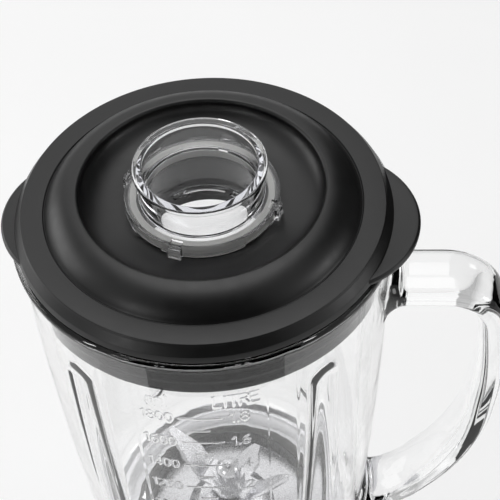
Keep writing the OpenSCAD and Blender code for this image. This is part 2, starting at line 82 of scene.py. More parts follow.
WALL_R = 69.5
WALL_TAPER = 0.000239
GLASS_T = 4.5
RIM_R = WALL_R + 2.0
WALL_FOOT_Z = 184
ROOM_FOOT_Z = 188
NECK_TOP_Z = 174

# folds in the wall: half width at the top, half width at the foot and depth
FLUTE_ANGLES = (-49, -131, 49, 131)
FLUTE_OUTSIDE = (5.6, 8.6, 1.5)
FLUTE_INSIDE = (7.6, 11.0, 1.8)

# the handle starts inside the wall; its outer side stays within the CAD box
HANDLE_START_X = 53.2
HANDLE_START_Z = FLANGE_Z - 44
HANDLE_HALF_T = 5.7
HANDLE_HALF_W = 12.2
HANDLE_FILLET = 8.0

# embossed scale: half width, soft edge and height of its strokes
SCALE_RELIEF = (0.38, 0.32, 0.15)

CAP_TURN = -16.4
NECK_FOOT = FLANGE_Z - 25.5
LUG_Z = FLANGE_Z - 10.7
UPPER_BEND = 52
LOWER_BEND = -18


# ---- outlines ----


def arc(centre, radius, start, end, steps):
    """Points on an arc, from one angle to another, in degrees. The radius may be a pair."""
    rx, ry = radius if isinstance(radius, tuple) else (radius, radius)
    turns = [math.radians(start + (end - start) * i / steps) for i in range(steps + 1)]
    return [(centre[0] + rx * math.cos(t), centre[1] + ry * math.sin(t)) for t in turns]


def quarter(a, b, tall, steps=24):
    """Quarter ellipse from a to b, which leaves a upright when tall is true."""
    turns = [math.pi / 2 * i / steps for i in range(steps + 1)]
    if tall:
        return [(a[0] + (b[0] - a[0]) * (1 - math.cos(t)), a[1] + (b[1] - a[1]) * math.sin(t))
                for t in turns]
    return [(a[0] + (b[0] - a[0]) * math.sin(t), a[1] + (b[1] - a[1]) * (1 - math.cos(t)))
            for t in turns]


def bow(a, b, lean, steps=24):
    """Circular arc from a up to b, which slopes by lean degrees where it ends."""
    chord = math.atan2(b[1] - a[1], a[0] - b[0])
    half = chord - math.radians(lean)
    radius = math.dist(a, b) / 2 / math.sin(half)
    slopes = [chord + half - 2 * half * i / steps for i in range(steps + 1)]
    return [(a[0] - radius * (math.sin(slopes[0]) - math.sin(t)),
             a[1] + radius * (math.cos(t) - math.cos(slopes[0]))) for t in slopes]


def soften(points, steps=5):
    """Rounds the corners of a closed outline. A point is (x, y) or (x, y, fillet radius)."""
    made = []
    for i, point in enumerate(points):
        here = Vector(point[:2])
        fillet = point[2] if len(point) > 2 else 0
        before = Vector(points[i - 1][:2]) - here
        after = Vector(points[(i + 1) % len(points)][:2]) - here
        if fillet <= 0 or before.length < 1e-6 or after.length < 1e-6:
            made.append(tuple(here))
            continue
        half = before.angle(after) / 2
        reach = min(fillet / math.tan(half), 0.48 * before.length, 0.48 * after.length)
        radius = reach * math.tan(half)
        middle = (before.normalized() + after.normalized()).normalized()
        centre = here + middle * (radius / math.sin(half))
        first = here + before.normalized() * reach - centre
        last = here + after.normalized() * reach - centre
        a0 = math.atan2(first.y, first.x)
        turn = (math.atan2(last.y, last.x) - a0 + math.pi) % (2 * math.pi) - math.pi
        made += [(centre.x + radius * math.cos(a0 + turn * k / steps),
                  centre.y + radius * math.sin(a0 + turn * k / steps))
                 for k in range(steps + 1)]
    return made


# ---- meshes ----


def mesh_object(name, points, faces, material, sharp=35):
    """A smooth-shaded mesh from points in millimetres. Edges over the sharp angle stay crisp."""
    mesh = bpy.data.meshes.new(name)
    mesh.from_pydata((np.asarray(points, float) * MM).tolist(), [], faces)
    mesh.validate()
    close(mesh)
    mesh.shade_smooth()
    mesh.set_sharp_from_angle(angle=math.radians(sharp))
    made = bpy.data.objects.new(name, mesh)
    bpy.context.scene.collection.objects.link(made)
    if material is not None:
        mesh.materials.append(material)
    return made


def close(mesh):
    """Merges points that lie on each other and turns every face outwards."""
    edit = bmesh.new()
    edit.from_mesh(mesh)
    bmesh.ops.remove_doubles(edit, verts=edit.verts, dist=1e-7)
    bmesh.ops.recalc_face_normals(edit, faces=edit.faces)
    edit.to_mesh(mesh)
    edit.free()


def lathe(name, outline, material, turns=192, warp=None, sharp=35, place=None):
    """Solid of revolution about +Z from a closed outline that runs counter-clockwise.

    turns is a number of equal steps or a list of azimuths in degrees. warp changes the
    radii: it gets azimuths, radii and heights as arrays, and gives the new radii.
    """
    azimuths = np.arange(turns) * 360 / turns if np.isscalar(turns) else np.asarray(turns)
    n, m = len(azimuths), len(outline)
    r, z = np.array(outline, float).T
    angle = np.radians(azimuths)[None, :]
    radii = np.repeat(r[:, None], n, 1)
    heights = np.repeat(z[:, None], n, 1)
    if warp is not None:
        radii = warp(np.repeat(azimuths[None, :], m, 0), radii, heights)
    grid = np.stack([radii * np.cos(angle), radii * np.sin(angle), heights], 2)
    axis = r < 1e-6
    index = np.arange(m * n).reshape(m, n)
    faces = []
    for j in range(m):
        k = (j + 1) % m
        a, b = index[j], index[k]
        nexts = np.roll(np.arange(n), -1)
        if axis[j] and axis[k]:
            continue
        if axis[j]:
            faces += np.stack([np.full(n, a[0]), b[nexts], b], 1).tolist()
        elif axis[k]:
            faces += np.stack([a, a[nexts], np.full(n, b[0])], 1).tolist()
        else:
            faces += np.stack([a, a[nexts], b[nexts], b], 1).tolist()
    points = grid.reshape(-1, 3)
    used = np.unique([i for face in faces for i in face])
    renumber = np.full(m * n, -1)
    renumber[used] = np.arange(len(used))
    faces = [[int(renumber[i]) for i in face] for face in faces]
    points = points[used]
    if place is not None:
        turned = np.array(place)
        points = points @ turned[:3, :3].T + turned[:3, 3]
    return mesh_object(name, points, faces, material, sharp)


def facing_front(x, y, z):
    """Places something made about +Z so that it points to -Y."""
    return Matrix.Translation((x, y, z)) @ Matrix.Rotation(math.pi / 2, 4, "X")


def turned(azimuth, radius=0.0, z=0.0):
    """Places something at a radius and azimuth about the motor axis."""
    return Matrix.Rotation(math.radians(azimuth), 4, "Z") @ Matrix.Translation((radius, 0, z))


def box_points(lo, hi, place=None):
    """Corners and faces of a box, for cutting and joining."""
    corners = [(x, y, z) for x in (lo[0], hi[0]) for y in (lo[1], hi[1]) for z in (lo[2], hi[2])]
    if place is not None:
        corners = [tuple(place @ Vector(c)) for c in corners]
    faces = [(0, 1, 3, 2), (4, 6, 7, 5), (0, 4, 5, 1), (2, 3, 7, 6), (0, 2, 6, 4), (1, 5, 7, 3)]
    return corners, faces


def block(lo, hi, place=None, fillet=0.0):
    """A box as an object, with its edges rounded when fillet is given."""
    corners, faces = box_points(lo, hi, place)
    made = mesh_object("tool", corners, faces, None)
    if fillet:
        rounding = made.modifiers.new("edges", "BEVEL")
        rounding.width = fillet * MM
        rounding.segments = 3
        settle(made)
    return made


def settle(piece):
    """Applies the modifiers of a piece."""
    bpy.context.view_layer.update()
    graph = bpy.context.evaluated_depsgraph_get()
    mesh = bpy.data.meshes.new_from_object(piece.evaluated_get(graph))
    piece.modifiers.clear()
    old = piece.data
    piece.data = mesh
    bpy.data.meshes.remove(old)


def combine(piece, tools, operation, sharp=35):
    """Joins tools to a piece or cuts them from it, and throws the tools away."""
    for tool in tools:
        step = piece.modifiers.new("combine", "BOOLEAN")
        step.operation = operation
        step.object = tool
        step.solver = "MANIFOLD"
    own = list(piece.data.materials)
    settle(piece)
    piece.data.materials.clear()
    for finish in own[:1]:
        piece.data.materials.append(finish)
    piece.data.polygons.foreach_set("material_index", [0] * len(piece.data.polygons))
    for tool in tools:
        bpy.data.objects.remove(tool)
    piece.data.shade_smooth()
    piece.data.set_sharp_from_angle(angle=math.radians(sharp))
    return piece


def sector(r0, r1, z0, z1, start, end):
    """A stretch of a ring between two azimuths, for joining and cutting."""
    count = max(2, round((end - start) / 3))
    points, faces = [], []
    for i in range(count + 1):
        a = math.radians(start + (end - start) * i / count)
        points += [(r * math.cos(a), r * math.sin(a), z)
                   for r, z in ((r0, z0), (r1, z0), (r1, z1), (r0, z1))]
    for i in range(0, 4 * count, 4):
        faces += [(i + k, i + 4 + k, i + 4 + (k + 1) % 4, i + (k + 1) % 4) for k in range(4)]
    faces += [(0, 1, 2, 3), tuple(range(4 * count + 3, 4 * count - 1, -1))]
    return mesh_object("tool", points, faces, None)


def finish_piece(piece, body, slot, *nodes):
    """Ties a piece to its CAD body and hides the CAD nodes that it stands for. slot is not used."""
    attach(piece, body)
    if nodes:
        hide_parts(*nodes)
    return piece


# ---- materials ----


def material(name, settings):
    """A new material and its Principled shader, with the given sockets set."""
    made = bpy.data.materials.new(name)
    made.use_nodes = True
    shader = made.node_tree.nodes["Principled BSDF"]
    for socket, value in settings.items():
        shader.inputs[socket].default_value = value
    return made, shader


def noise(made, scale, detail=2.0, stretch=(1, 1, 1)):
    """Noise in object coordinates. scale is in features per metre."""
    tree = made.node_tree
    where = tree.nodes.new("ShaderNodeTexCoord")
    mapping = tree.nodes.new("ShaderNodeMapping")
    mapping.inputs["Scale"].default_value = stretch
    texture = tree.nodes.new("ShaderNodeTexNoise")
    texture.inputs["Scale"].default_value = scale
    texture.inputs["Detail"].default_value = detail
    tree.links.new(where.outputs["Object"], mapping.inputs["Vector"])
    tree.links.new(mapping.outputs["Vector"], texture.inputs["Vector"])
    return texture.outputs["Fac"]


def vary(made, value, socket, darkest, lightest):
    """Drives a number from a noise value."""
    spread = made.node_tree.nodes.new("ShaderNodeMapRange")
    spread.inputs["From Min"].default_value = 0.3
    spread.inputs["From Max"].default_value = 0.7
    spread.inputs["To Min"].default_value = darkest
    spread.inputs["To Max"].default_value = lightest
    made.node_tree.links.new(value, spread.inputs["Value"])
    made.node_tree.links.new(spread.outputs["Result"], socket)


def tint(made, value, socket, first, second):
    """Drives a colour between two from a noise value."""
    ramp = made.node_tree.nodes.new("ShaderNodeValToRGB")
    ramp.color_ramp.elements[0].position = 0.3
    ramp.color_ramp.elements[1].position = 0.7
    ramp.color_ramp.elements[0].color = (*first, 1)
    ramp.color_ramp.elements[1].color = (*second, 1)
    made.node_tree.links.new(value, ramp.inputs["Fac"])
    made.node_tree.links.new(ramp.outputs["Color"], socket)


def relief(made, shader, heights):
    """Chains bumps on a shader. heights is a list of (noise value, strength, distance in mm)."""
    tree = made.node_tree
    last = None
    for value, strength, distance in heights:
        bump = tree.nodes.new("ShaderNodeBump")
        bump.inputs["Strength"].default_value = strength
        bump.inputs["Distance"].default_value = distance * MM
        tree.links.new(value, bump.inputs["Height"])
        if last is not None:
            tree.links.new(last, bump.inputs["Normal"])
        last = bump.outputs["Normal"]
    tree.links.new(last, shader.inputs["Normal"])


def moulded(name, dark, light, rough, grain=0.25, depth=0.012):
    """Moulded plastic or rubber with a fine grain. grain is the feature size in mm."""
    made, shader = material(name, {"IOR": 1.5})
    slow = noise(made, 60, 3)
    fine = noise(made, 1000 / grain, 2)
    tint(made, slow, shader.inputs["Base Color"], dark, light)
    vary(made, noise(made, 220, 4), shader.inputs["Roughness"], rough - 0.03, rough + 0.04)
    relief(made, shader, [(slow, 0.1, 0.03), (fine, 0.35, depth)])
    return made


def metal(name, dark, light, rough, stretch, scale=900):
    """Bare metal with fine drawn lines along the axis that is not stretched."""
    made, shader = material(name, {"Metallic": 1.0})
    lines = noise(made, scale, 3, stretch)
    tint(made, noise(made, 90, 3), shader.inputs["Base Color"], dark, light)
    vary(made, lines, shader.inputs["Roughness"], rough - 0.03, rough + 0.04)
    relief(made, shader, [(lines, 0.15, 0.005)])
    return made


def clear(name, ior, absorbed, density, rough, wave):
    """Clear glass or plastic: a transmitting surface with faint waves and a light body tint."""
    made, shader = material(name, {"Transmission Weight": 1.0, "IOR": ior,
                                   "Base Color": (1, 1, 1, 1)})
    slow = noise(made, 45, 2)
    vary(made, noise(made, 260, 3), shader.inputs["Roughness"], rough, rough + 0.015)
    relief(made, shader, [(slow, 0.5, wave), (noise(made, 400, 2), 0.1, wave * 0.03)])
    body = made.node_tree.nodes.new("ShaderNodeVolumeAbsorption")
    body.inputs["Color"].default_value = (*absorbed, 1)
    body.inputs["Density"].default_value = density
    output = made.node_tree.nodes["Material Output"]
    made.node_tree.links.new(body.outputs["Volume"], output.inputs["Volume"])
    return made


def grey(value):
    """A nearly neutral colour, very slightly cool."""
    return (value, value, value * 1.03)


MATERIALS = {
    "lid_plastic": moulded("lid_plastic", grey(0.003), grey(0.0045), 0.36),
    "black_plastic": moulded("black_plastic", grey(0.010), grey(0.014), 0.45, 0.35, 0.02),
    "body_plastic": moulded("body_plastic", grey(0.74), grey(0.8), 0.25, 0.5, 0.006),
    "silver_plastic": metal("silver_plastic", grey(0.86), grey(0.92), 0.2, (1, 1, 1), 500),
    "black_rubber": moulded("black_rubber", grey(0.006), grey(0.01), 0.6, 0.4, 0.03),
    "soft_seal": moulded("soft_seal", (0.62, 0.62, 0.6), (0.7, 0.7, 0.68), 0.5),
    "carbon": moulded("carbon", grey(0.02), grey(0.035), 0.6),
    "fan_plastic": moulded("fan_plastic", (0.7, 0.69, 0.63), (0.77, 0.76, 0.7), 0.4),
    "board_green": moulded("board_green", (0.02, 0.14, 0.06), (0.03, 0.18, 0.08), 0.3),
    "switch_plastic": moulded("switch_plastic", (0.045, 0.05, 0.07), (0.06, 0.065, 0.09), 0.4),
    "pin_plastic": moulded("pin_plastic", (0.75, 0.73, 0.65), (0.82, 0.8, 0.72), 0.35),
    "pointer_white": moulded("pointer_white", grey(0.78), grey(0.84), 0.4),
    "stainless": metal("stainless", grey(0.74), grey(0.82), 0.26, (1, 1, 0.05)),
    "zinc_screws": metal("zinc_screws", grey(0.42), grey(0.5), 0.3, (1, 1, 1)),
    "lamination": metal("lamination", grey(0.24), grey(0.32), 0.45, (0.05, 0.05, 1), 1600),
    "copper": metal("copper", (0.55, 0.22, 0.08), (0.68, 0.3, 0.11), 0.3, (0.2, 0.2, 1), 1200),
    "brass": metal("brass", (0.6, 0.44, 0.18), (0.7, 0.54, 0.24), 0.32, (1, 1, 0.1)),
    "bronze": metal("bronze", (0.45, 0.28, 0.12), (0.56, 0.36, 0.17), 0.45, (1, 1, 1)),
    "cast_aluminium": metal("cast_aluminium", grey(0.5), grey(0.6), 0.5, (1, 1, 1), 700),
    "jug_glass": clear("jug_glass", 1.5, (0.90, 0.95, 0.93), 2.5, 0.0, 0.12),
    "clear_cap": clear("clear_cap", 1.5, (0.80, 0.82, 0.95), 12.0, 0.0, 0.06),
}
PRINT = moulded("dial_print", grey(0.012), grey(0.02), 0.5)


def dress_frame():
    """Gives every CAD node that stays in sight its finish."""
    for part in frame["record"]["subparts"]:
        node = frame["nodes"][part["node"]]
        node.data.materials.clear()
        node.data.materials.append(MATERIALS[part["material_slot"]])


# ---- plain lettering, drawn as strokes in a cell one unit tall ----

GLYPHS = {
    "0": [arc((0.26, 0.5), (0.26, 0.5), 0, 360, 20)],
    "1": [[(0.06, 0.76), (0.28, 1.0), (0.28, 0)]],
    "2": [arc((0.26, 0.73), (0.25, 0.27), 165, -35, 12) + [(0.02, 0), (0.52, 0)]],
    "3": [arc((0.25, 0.76), (0.22, 0.24), 150, -90, 12) + arc((0.25, 0.26), (0.26, 0.26), 90, -150, 12)],
    "4": [[(0.54, 0.26), (0, 0.26), (0.38, 1.0), (0.38, 0)]],
    "6": [arc((0.26, 0.29), (0.25, 0.29), 0, 360, 16), arc((0.52, 0.32), (0.5, 0.68), 100, 175, 8)],
    "8": [arc((0.26, 0.76), (0.21, 0.24), 0, 360, 14), arc((0.26, 0.26), (0.26, 0.26), 0, 360, 16)],
    ".": [[(0.08, 0.0), (0.08, 0.05)]],
    "m": [[(0, 0), (0, 0.62)], arc((0.19, 0.42), (0.19, 0.2), 180, 0, 8) + [(0.38, 0)],
          arc((0.57, 0.42), (0.19, 0.2), 180, 0, 8) + [(0.76, 0)]],
    "l": [[(0.06, 1.0), (0.06, 0)]],
    "L": [[(0.02, 1.0), (0.02, 0), (0.46, 0)]],
    "I": [[(0.08, 1.0), (0.08, 0)]],
    "T": [[(0, 1.0), (0.56, 1.0)], [(0.28, 1.0), (0.28, 0)]],
    "R": [[(0, 0), (0, 1.0), (0.27, 1.0)] + arc((0.27, 0.75), (0.25, 0.25), 90, -90, 10) + [(0, 0.5)],
          [(0.27, 0.5), (0.52, 0)]],
    "E": [[(0.48, 1.0), (0, 1.0), (0, 0), (0.48, 0)], [(0, 0.52), (0.4, 0.52)]],
    "P": [[(0, 0), (0, 1.0), (0.27, 1.0)] + arc((0.27, 0.74), (0.26, 0.26), 90, -90, 10) + [(0, 0.48)]],
}
GLYPH_WIDTH = {"1": 0.36, ".": 0.16, "m": 0.76, "l": 0.12, "I": 0.16}


def lettering(text, x, y, height, stretch=1.0, gap=0.17):
    """Strokes of a text that starts at x, with its middle at y. Gives (strokes, width)."""
    strokes, pen = [], 0.0
    for letter in text:
        strokes += [[(x + (pen + px) * height * stretch, y + (py - 0.5) * height) for px, py in line]
                    for line in GLYPHS[letter]]
        pen += GLYPH_WIDTH.get(letter, 0.52) + gap
    return strokes, (pen - gap) * height * stretch


def stroke_height(u, v, strokes, half_width, edge, height):
    """Height of raised strokes with soft edges at the points (u, v)."""
    nearest = np.full(u.shape, 1e9)
    for line in strokes:
        for (x0, y0), (x1, y1) in zip(line, line[1:]):
            dx, dy = x1 - x0, y1 - y0
            along = np.clip(((u - x0) * dx + (v - y0) * dy) / max(dx * dx + dy * dy, 1e-9), 0, 1)
            gap = np.hypot(u - x0 - along * dx, v - y0 - along * dy)
            nearest = np.minimum(nearest, gap)
    rise = np.clip((half_width - nearest) / edge, 0, 1)
    return height * rise * rise * (3 - 2 * rise)


def ribbon(name, strokes, place, width, depth, surface, material_used):
    """Raised strokes as thin rounded bars lying on a surface."""
    curve = bpy.data.curves.new(name, "CURVE")
    curve.dimensions = "3D"
    curve.bevel_depth = width / 2 * MM
    curve.bevel_resolution = 3
    curve.use_fill_caps = True
    for line in strokes:
        spline = curve.splines.new("POLY")
        spline.points.add(len(line) - 1)
        for point, (x, y) in zip(spline.points, line):
            point.co = (x * MM, y * MM, 0, 1)
    made = bpy.data.objects.new(name, curve)
    bpy.context.scene.collection.objects.link(made)
    bpy.context.view_layer.update()
    mesh = bpy.data.meshes.new_from_object(made.evaluated_get(bpy.context.evaluated_depsgraph_get()))
    bpy.data.objects.remove(made)
    flatten = Matrix.Diagonal((1, 1, depth / width, 1))
    lift = Matrix.Translation((0, 0, (surface + depth / 2) * MM))
    scaled = Matrix.Translation(place.translation * MM) @ place.to_quaternion().to_matrix().to_4x4()
    mesh.transform(scaled @ lift @ flatten)
    close(mesh)
    mesh.shade_smooth()
    mesh.materials.clear()
    mesh.materials.append(material_used)
    piece = bpy.data.objects.new(name, mesh)
    bpy.context.scene.collection.objects.link(piece)
    return piece


# ---- jug ----


def wall_r(z):
    """Outer radius of the glass wall at a height."""
    return WALL_R - WALL_TAPER * (z - FLANGE_Z) ** 2


SCALE_TOP = FLANGE_Z - 40.3
SCALE_STEP = 100_000
SCALE_LOWEST = 3


def scale_heights():
    """Heights of the marks from 1.8 litres down, each worked out from the room inside."""
    heights, z, passed = {18: SCALE_TOP}, SCALE_TOP, 0.0
    mark = 18
    while mark > SCALE_LOWEST:
        passed += math.pi * (wall_r(z) - GLASS_T - 0.3) ** 2 * 0.05
        z -= 0.05
        if passed >= SCALE_STEP:
            passed -= SCALE_STEP
            mark -= 1
            heights[mark] = z
    return heights


def scale_strokes():
    """Marks and numbers of the scale: lines, millilitres on the left, litres on the right."""
    strokes = []
    for mark, z in scale_heights().items():
        long_mark = mark % 2 == 0
        half = 7.6 if long_mark else 2.75
        strokes.append([(-half, z), (half, z)])
        if long_mark:
            text = f"{mark * 100}"
            width = lettering(text, 0, 0, 5.3, 0.92)[1]
            strokes += lettering(text, -10.1 - width, z, 5.3, 0.92)[0]
            strokes += lettering(f"{mark / 10:.1f}", 10.6, z, 5.3, 0.92)[0]
    unit_z = FLANGE_Z - 29.6
    strokes += lettering("ml", -18.4, unit_z, 5.6, 1.2)[0]
    strokes += lettering("LITRE", 5.2, unit_z, 5.6, 1.0)[0]
    return strokes


def flute_depth(azimuth, z, half_top, half_foot, depth):
    """Depth of the four folds in the wall: upright, with soft ends, wider to the foot."""
    top, foot = FLANGE_Z - 40, 204
    reach = np.clip((top - z) / (top - foot), 0, 1)
    half = half_top + (half_foot - half_top) * reach
    over = np.maximum(z - top, 0) + np.maximum(foot - z, 0)
    total = np.zeros_like(z)
    for angle in FLUTE_ANGLES:
        across = np.radians((azimuth - angle + 180) % 360 - 180) * wall_r(z)
        t = np.hypot(across, over) / half
        total += depth * np.clip(1 - t * t, 0, None) ** 1.7
    return total


def spout_bulge(azimuth, z):
    """How far the lip of the spout stands out."""
    off = np.abs(azimuth % 360 - 180)
    side = np.clip(1 - off / 13, 0, 1)
    rise = np.clip((z - (RIM_Z - 26)) / 26, 0, 1)
    return 4.0 * (side * side * (3 - 2 * side)) * rise ** 1.6


def jug_azimuths():
    """Directions of the wall's columns, close together at the scale and the folds."""
    fine = 0.25 if FINE else 0.6
    made = list(np.arange(-111, -69, fine))
    for angle in (-49, 49, 131, 229):
        made += list(np.arange(angle - 10.5, angle + 10.5, 0.5 if FINE else 1.0))
    made += list(np.arange(-38, 38, 1.25))
    made += list(np.arange(60, 120, 1.5))
    made += list(np.arange(142, 218, 1.25))
    made = np.array(sorted({round(float(a) % 360, 4) for a in made}))
    keep = np.append(True, np.diff(made) > 0.2)
    return made[keep]


def wall_heights(foot, top, fine):
    """Heights of the wall's rows. With fine, rows are close together where the scale is."""
    rows = [foot]
    marks = list(scale_heights().items()) + [(2, FLANGE_Z - 29.6)]
    while rows[-1] < top:
        z = rows[-1]
        near = fine and any(abs(z - m) < (3.4 if k % 2 == 0 else 1.2) for k, m in marks)
        rows.append(z + ((0.26 if FINE else 0.5) if near else (1.1 if fine else 2.0)))
    rows[-1] = top
    return rows


def handle_path():
    """Places along the handle's centreline, from inside the wall to inside the wall again."""
    bends = [(37.3, 19.5, 85), (8, 212, 11), (8, 104, 32), (8, 36.8, 22), (22, 0, 0)]
    runs = []
    for straight, bend_r, bend in bends:
        runs += [(straight, 0), (bend_r * math.radians(bend), bend)]
    step = 0.5
    turns = []
    for length, angle in runs:
        count = round(length / step)
        turns += [angle / max(count, 1)] * count
    smooth = np.convolve(np.pad(turns, 24, "edge"), np.hanning(23) / np.hanning(23).sum(), "same")
    x, z, heading = HANDLE_START_X, HANDLE_START_Z, 0.0
    places = []
    for i, turn in enumerate(smooth[24:-24]):
        if i % 3 == 0:
            places.append((x, z, heading))
        x += step * math.cos(math.radians(heading))
        z -= step * math.sin(math.radians(heading))
        heading += turn
    return places


def jug_handle():
    """The handle, its ends flowing out into the wall."""
    half_t, half_w, fillet = HANDLE_HALF_T, HANDLE_HALF_W, HANDLE_FILLET
    angles = [2 * math.pi * k / 56 for k in range(56)]
    section = np.array([(half_t * abs(math.cos(a)) ** 0.62 * math.copysign(1, math.cos(a)),
                         half_w * abs(math.sin(a)) ** 0.62 * math.copysign(1, math.sin(a)))
                        for a in angles])
    out = section / np.linalg.norm(section, axis=1)[:, None]
    rings = []
    for x, z, heading in handle_path():
        across = np.array([math.sin(math.radians(heading)), 0, math.cos(math.radians(heading))])
        base = np.array([x, 0, z]) + section[:, :1] * across + section[:, 1:] * np.array([0, 1, 0])
        push = out[:, :1] * across + out[:, 1:] * np.array([0, 1, 0])
        flow = np.zeros(len(section))
        for _ in range(4):
            spot = base + push * flow[:, None]
            away = np.hypot(spot[:, 0], spot[:, 1]) - wall_r(spot[:, 2])
            near = np.clip(fillet - np.clip(away, 0, None), 0, fillet)
            flow = fillet - np.sqrt(np.clip(fillet ** 2 - near ** 2, 0, None))
        away = np.hypot(base[:, 0], base[:, 1]) - wall_r(base[:, 2])
        if away.max() > -6:
            rings.append(base + push * (flow * 0.98)[:, None])
    n = len(section)
    points = np.concatenate(rings)
    faces = [[r * n + k, r * n + (k + 1) % n, (r + 1) * n + (k + 1) % n, (r + 1) * n + k]
             for r in range(len(rings) - 1) for k in range(n)]
    faces += [list(range(n))[::-1], list(range((len(rings) - 1) * n, len(rings) * n))]
    return mesh_object("handle", points, faces, None, 60)


def make_jug():
    """The glass jug: wall with scale and folds, handle, spout and open neck."""
    glass = MATERIALS["jug_glass"]
    azimuths = jug_azimuths()
    wall = [(wall_r(z), z) for z in wall_heights(WALL_FOOT_Z, RIM_Z - 3.4, True)]
    bead = [(RIM_R, RIM_Z - 2.9), (RIM_R + 0.1, RIM_Z - 1.6), (RIM_R - 0.25, RIM_Z - 0.6),
            (RIM_R - 0.9, RIM_Z - 0.12), (RIM_R - 1.8, RIM_Z)]
    outer = ([(0, NECK_Z), (43.2, NECK_Z), (44, NECK_Z + 0.8), (44, NECK_TOP_Z - 0.5)]
             + quarter((50, NECK_TOP_Z), (wall_r(WALL_FOOT_Z), WALL_FOOT_Z), False, 14)[:-1]
             + wall + [(RIM_R - 1.2, RIM_Z - 3.2)] + bead + [(0, RIM_Z)])
    strokes = scale_strokes()

    def shape_outside(azimuth, radius, z):
        away = (azimuth + 90 + 180) % 360 - 180
        on_wall = (z > WALL_FOOT_Z - 0.1) & (z < RIM_Z - 3.0)
        made = radius - flute_depth(azimuth, z, *FLUTE_OUTSIDE) * on_wall
        made += spout_bulge(azimuth, z) * (radius > 60)
        front = on_wall & (np.abs(away) < 20.5)
        u = np.radians(away[front]) * wall_r(z[front])
        made[front] += stroke_height(u, z[front], strokes, *SCALE_RELIEF)
        return made

    room_heights = wall_heights(ROOM_FOOT_Z, RIM_Z - 1.6, False)
    inner_wall = [(wall_r(z) - GLASS_T, z) for z in room_heights]
    room_foot = (wall_r(ROOM_FOOT_Z) - GLASS_T, ROOM_FOOT_Z)
    inner = ([(0, NECK_Z - 2), (39.5, NECK_Z - 2), (39.5, NECK_TOP_Z + 2)]
             + quarter((40.6, NECK_TOP_Z + 3), room_foot, False, 14)[:-1]
             + inner_wall + [(inner_wall[-1][0] + 0.35, RIM_Z - 0.6),
                             (inner_wall[-1][0] + 1.3, RIM_Z + 0.3), (0, RIM_Z + 0.3)])

    def shape_inside(azimuth, radius, z):
        on_wall = z > ROOM_FOOT_Z + 1
        made = radius - flute_depth(azimuth, z, *FLUTE_INSIDE) * on_wall
        return made + 0.8 * spout_bulge(azimuth, z) * (radius > 60)

    jug = lathe("jug_glass", outer, glass, azimuths, shape_outside, 60)
    combine(jug, [jug_handle()], "UNION", 60)
    combine(jug, [lathe("room", inner, None, azimuths, shape_inside, 60)], "DIFFERENCE", 50)
    finish_piece(jug, "jar", "jug_glass", "jar_glass")


# ---- lid ----


def make_lid():
    """The push-in lid: flange, raised ring, dish, two side tabs and the cap's neck."""
    plastic = MATERIALS["lid_plastic"]
    top, dish = FLANGE_Z, FLANGE_Z - 1
    wall = 2.4
    ridge_r, crest_z, crease_r, plug_r, hole_r = 44.8, top + 8.2, 58.6, 61.6, 23.3
    skirt_z = top - 6.5
    foot = low("lid_shell").z
    edge_r = 1.4
    rise_out = bow((crease_r - 0.8, top + 0.1), (ridge_r + edge_r, crest_z - 0.05), 6, 28)
    crest = arc((ridge_r + edge_r, crest_z - 0.05 - edge_r), edge_r, 88, 180, 8)
    rise_in = quarter((30, dish), (ridge_r, crest_z - 0.2 - edge_r), False, 28)
    under_out = bow((crease_r - 1 - wall, top - wall), (ridge_r, crest_z - wall), 6, 16)
    under_in = quarter((30, dish - wall), (ridge_r, crest_z - wall), False, 16)
    outline = ([(hole_r, NECK_FOOT, 0.4), (hole_r + 2.2, NECK_FOOT, 0.4), (hole_r + 2.2, dish - wall)]
               + under_in + under_out[::-1][1:]
               + [(plug_r - wall, top - wall), (plug_r - wall, foot), (plug_r, foot, 0.6)]
               + [(plug_r, top - wall - 1), (67.9, top - wall - 1, 0.4), (67.9, skirt_z, 0.5),
                  (70.3, skirt_z, 0.5), (69.5, top - 3.9, 0.8), (67.35, top - 0.9, 0.5),
                  (66.9, top, 0.45), (crease_r + 0.25, top, 0.3), (crease_r - 0.25, top - 0.6, 0.2)]
               + rise_out + crest + rise_in[::-1] + [(hole_r, dish, 0.5)])
    lid = lathe("lid", soften(outline), plastic, 288 if FINE else 144)
    for azimuth, centre, radius in ((-6.6, 45.2, 34.4), (184.4, 42.2, 32.6)):
        tab = lathe("tab", soften([(0, skirt_z), (radius, skirt_z, 0.5), (radius, skirt_z + 1.5, 0.5),
                                   (radius - 0.8, skirt_z + 2.3, 0.5), (radius - 2.2, skirt_z + 2.35),
                                   (radius - 5, skirt_z + 1.9), (radius - 14, skirt_z + 1.7),
                                   (0, skirt_z + 1.7)]), None, 160, place=turned(azimuth, centre))
        core = lathe("core", [(0, skirt_z - 2), (68.4, skirt_z - 2), (68.4, top), (0, top)], None, 144)
        combine(tab, [core], "DIFFERENCE")
        combine(lid, [tab], "UNION")
    for turn in (CAP_TURN, CAP_TURN + 180):
        slot = block((0, -3.5, LUG_Z - 0.5), (3.6, 3.5, dish + 0.5), turned(turn, hole_r - 1))
        window = sector(hole_r - 1, hole_r + 3, LUG_Z - 0.5, LUG_Z + 2.7, turn, turn + 65.6)
        combine(lid, [slot, window], "DIFFERENCE")
    finish_piece(lid, "lid", "lid_plastic", "lid_shell")


